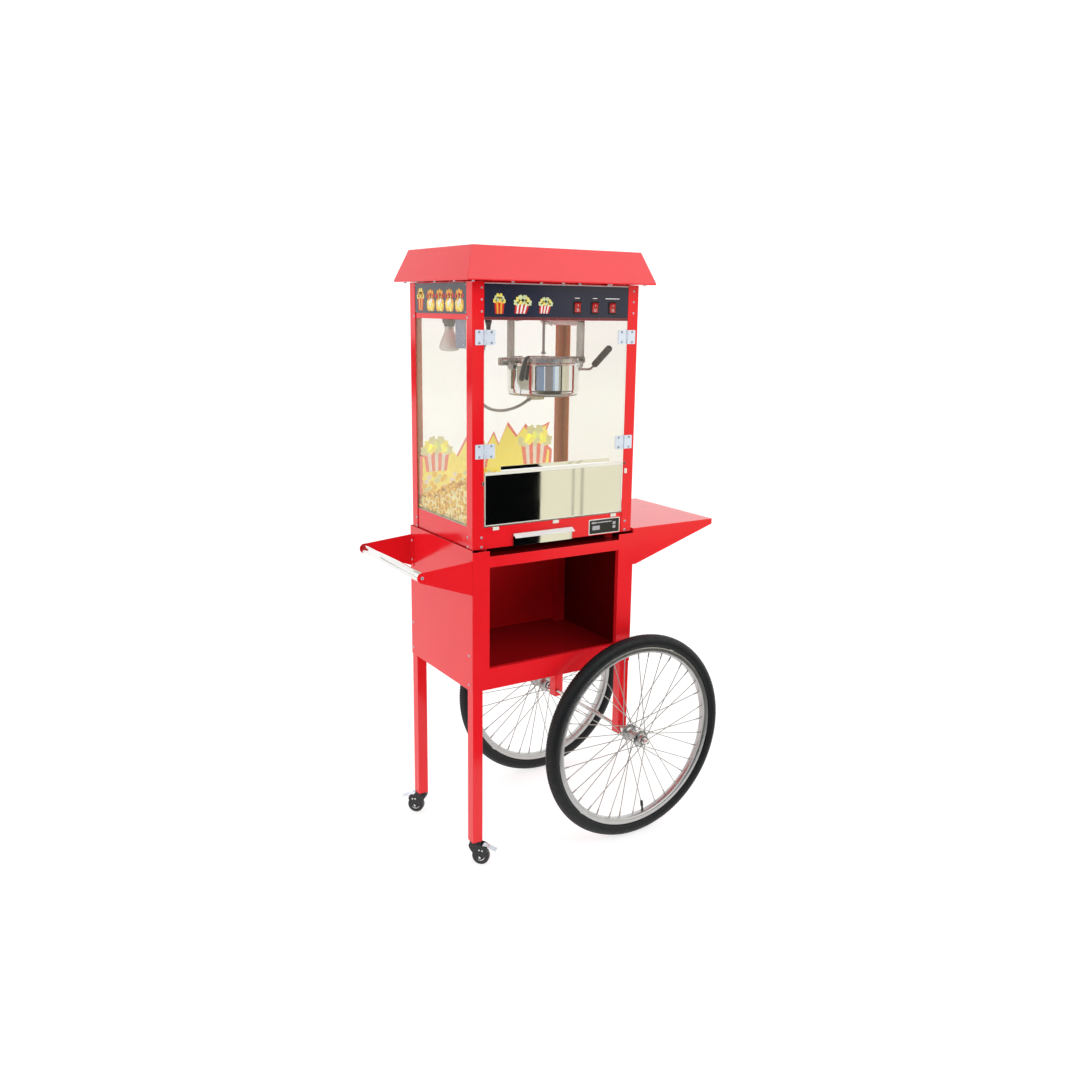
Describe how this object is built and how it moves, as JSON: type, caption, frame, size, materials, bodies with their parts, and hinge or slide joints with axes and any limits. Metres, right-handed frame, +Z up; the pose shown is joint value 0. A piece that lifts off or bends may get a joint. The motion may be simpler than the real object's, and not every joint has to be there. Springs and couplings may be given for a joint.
{
  "type": "popcorn machine with cart",
  "caption": "Red theatre-style popcorn machine with glass cabinet and tilting kettle, on a matching storage cart with spoked wheels, casters, push handle and side shelf.",
  "frame": {"origin": "centre of the footprint on the floor, under the middle of the overall width and depth", "axes": "+Z up, front doors face -Y, push handle on the -X side, side shelf and big wheels on the +X side"},
  "size_m": [0.972, 0.64, 1.6634],
  "materials": {
    "red_powder_coat": "gloss",
    "navy_panel": "satin",
    "plated_steel": "brushed",
    "polished_steel": "polished",
    "mirror_steel": "mirror",
    "alloy": "satin",
    "clear_sheet": "clear",
    "tyre_rubber": "matte",
    "hard_rubber": "matte",
    "black_part": "matte",
    "black_metal": "satin",
    "switch_red": "gloss",
    "lamp_glass": "frosted",
    "popped_corn": "matte",
    "woven_sleeve": "matte"
  },
  "bodies": {
    "stand": {"cart_panel_left": "red_powder_coat", "cart_panel_right": "red_powder_coat", "cart_panel_back": "red_powder_coat", "cart_front_frame": "red_powder_coat", "cart_deck": "red_powder_coat", "cart_floor": "red_powder_coat", "leg_front_left": "red_powder_coat", "leg_front_right": "red_powder_coat", "leg_rear_left": "red_powder_coat", "leg_rear_right": "red_powder_coat", "side_shelf": "red_powder_coat", "handle_wing_front": "red_powder_coat", "handle_wing_rear": "red_powder_coat", "handle_bar": "polished_steel", "wheel_axle": "polished_steel", "post_front_left": "red_powder_coat", "post_front_right": "red_powder_coat", "post_rear_left": "red_powder_coat", "post_rear_right": "red_powder_coat", "base_housing": "red_powder_coat", "popcorn_deck": "plated_steel", "header_housing": "red_powder_coat", "control_panel": "navy_panel", "roof_canopy": "red_powder_coat", "glass_left": "clear_sheet", "glass_right": "clear_sheet", "glass_rear": "clear_sheet", "gearmotor": "plated_steel", "hanger_left": "plated_steel", "hanger_right": "plated_steel", "lamp_holder": "black_part", "heat_lamp": "lamp_glass", "kettle_cord": "woven_sleeve", "popcorn_pile": "popped_corn"},
    "left_door": {"door_left": "clear_sheet"},
    "right_door": {"door_right": "clear_sheet"},
    "flap": {"serving_flap": "mirror_steel"},
    "drawer": {"crumb_drawer": "polished_steel"},
    "switch_light": {"rocker_light": "switch_red"},
    "switch_stirrer": {"rocker_stirrer": "switch_red"},
    "switch_kettle": {"rocker_kettle": "switch_red"},
    "kettle": {"kettle_pan": "polished_steel", "crank_grip": "black_part"},
    "front_lid": {"kettle_lid_front": "polished_steel"},
    "rear_lid": {"kettle_lid_rear": "polished_steel"},
    "stirrer_body": {"stirrer": "plated_steel"},
    "shaft_body": {"drive_shaft": "plated_steel"},
    "caster_swivel_front": {"caster_fork_front": "black_metal"},
    "caster_swivel_rear": {"caster_fork_rear": "black_metal"},
    "caster_roller_front": {"caster_wheel_front": "hard_rubber"},
    "caster_roller_rear": {"caster_wheel_rear": "hard_rubber"},
    "pedal_front": {"brake_pedal_front": "plated_steel"},
    "pedal_rear": {"brake_pedal_rear": "plated_steel"},
    "wheel_front": {"tyre_front": "tyre_rubber", "rim_front": "alloy", "spoked_hub_front": "polished_steel"},
    "wheel_rear": {"tyre_rear": "tyre_rubber", "rim_rear": "alloy", "spoked_hub_rear": "polished_steel"}
  },
  "joints": [
    {"name": "left_door_hinge", "type": "hinge", "parent": "stand", "child": "left_door", "pos_m": [-0.289, -0.1818, 1.292], "axis": [0, 0, 1], "range_deg": [-110, 0]},
    {"name": "right_door_hinge", "type": "hinge", "parent": "stand", "child": "right_door", "pos_m": [0.153, -0.1818, 1.292], "axis": [0, 0, 1], "range_deg": [0, 110]},
    {"name": "flap_tilt", "type": "hinge", "parent": "stand", "child": "flap", "pos_m": [-0.068, -0.1783, 0.9584], "axis": [1, 0, 0], "range_deg": [0, 60]},
    {"name": "drawer_slide", "type": "slide", "parent": "stand", "child": "drawer", "axis": [0, -1, 0], "range_m": [0, 0.22]},
    {"name": "switch_light_rock", "type": "hinge", "parent": "stand", "child": "switch_light", "pos_m": [-0.012, -0.175, 1.517], "axis": [1, 0, 0], "range_deg": [-9, 0]},
    {"name": "switch_stirrer_rock", "type": "hinge", "parent": "stand", "child": "switch_stirrer", "pos_m": [0.044, -0.175, 1.517], "axis": [1, 0, 0], "range_deg": [-9, 0]},
    {"name": "switch_kettle_rock", "type": "hinge", "parent": "stand", "child": "switch_kettle", "pos_m": [0.101, -0.175, 1.517], "axis": [1, 0, 0], "range_deg": [-9, 0]},
    {"name": "kettle_tilt", "type": "hinge", "parent": "stand", "child": "kettle", "pos_m": [-0.03, -0.045, 1.375], "axis": [1, 0, 0], "range_deg": [0, 62], "deforming": ["kettle_cord"]},
    {"name": "front_lid_hinge", "type": "hinge", "parent": "kettle", "child": "front_lid", "pos_m": [-0.03, -0.061, 1.3747], "axis": [1, 0, 0], "range_deg": [-90, 0]},
    {"name": "rear_lid_hinge", "type": "hinge", "parent": "kettle", "child": "rear_lid", "pos_m": [-0.03, -0.029, 1.3747], "axis": [1, 0, 0], "range_deg": [0, 30]},
    {"name": "drive_spin", "type": "hinge", "parent": "stand", "child": "shaft_body", "pos_m": [-0.03, -0.045, 1.483], "axis": [0, 0, 1], "continuous": true},
    {"name": "stirrer_spin", "type": "hinge", "parent": "kettle", "child": "stirrer_body", "pos_m": [-0.03, -0.045, 1.375], "axis": [0, 0, 1], "continuous": true},
    {"name": "caster_swivel_front_turn", "type": "hinge", "parent": "stand", "child": "caster_swivel_front", "pos_m": [-0.3115, -0.1717, 0.067], "axis": [0, 0, 1], "continuous": true},
    {"name": "caster_roll_front", "type": "hinge", "parent": "caster_swivel_front", "child": "caster_roller_front", "pos_m": [-0.29948, -0.18372, 0.0245], "axis": [0.7071, 0.7071, 0], "continuous": true},
    {"name": "brake_press_front", "type": "hinge", "parent": "caster_swivel_front", "child": "pedal_front", "pos_m": [-0.29453, -0.18867, 0.055], "axis": [0.7071, 0.7071, 0], "range_deg": [-22, 0]},
    {"name": "caster_swivel_rear_turn", "type": "hinge", "parent": "stand", "child": "caster_swivel_rear", "pos_m": [-0.3115, 0.1717, 0.067], "axis": [0, 0, 1], "continuous": true},
    {"name": "caster_roll_rear", "type": "hinge", "parent": "caster_swivel_rear", "child": "caster_roller_rear", "pos_m": [-0.32352, 0.18372, 0.0245], "axis": [-0.7071, -0.7071, 0], "continuous": true},
    {"name": "brake_press_rear", "type": "hinge", "parent": "caster_swivel_rear", "child": "pedal_rear", "pos_m": [-0.32847, 0.18867, 0.055], "axis": [-0.7071, -0.7071, 0], "range_deg": [-22, 0]},
    {"name": "wheel_roll_front", "type": "hinge", "parent": "stand", "child": "wheel_front", "pos_m": [0.171, -0.255, 0.305], "axis": [0, 1, 0], "continuous": true},
    {"name": "wheel_roll_rear", "type": "hinge", "parent": "stand", "child": "wheel_rear", "pos_m": [0.171, 0.255, 0.305], "axis": [0, 1, 0], "continuous": true}
  ],
  "couplings": [
    {"joint": "drive_spin", "follows": "stirrer_spin", "ratio": 1}
  ]
}
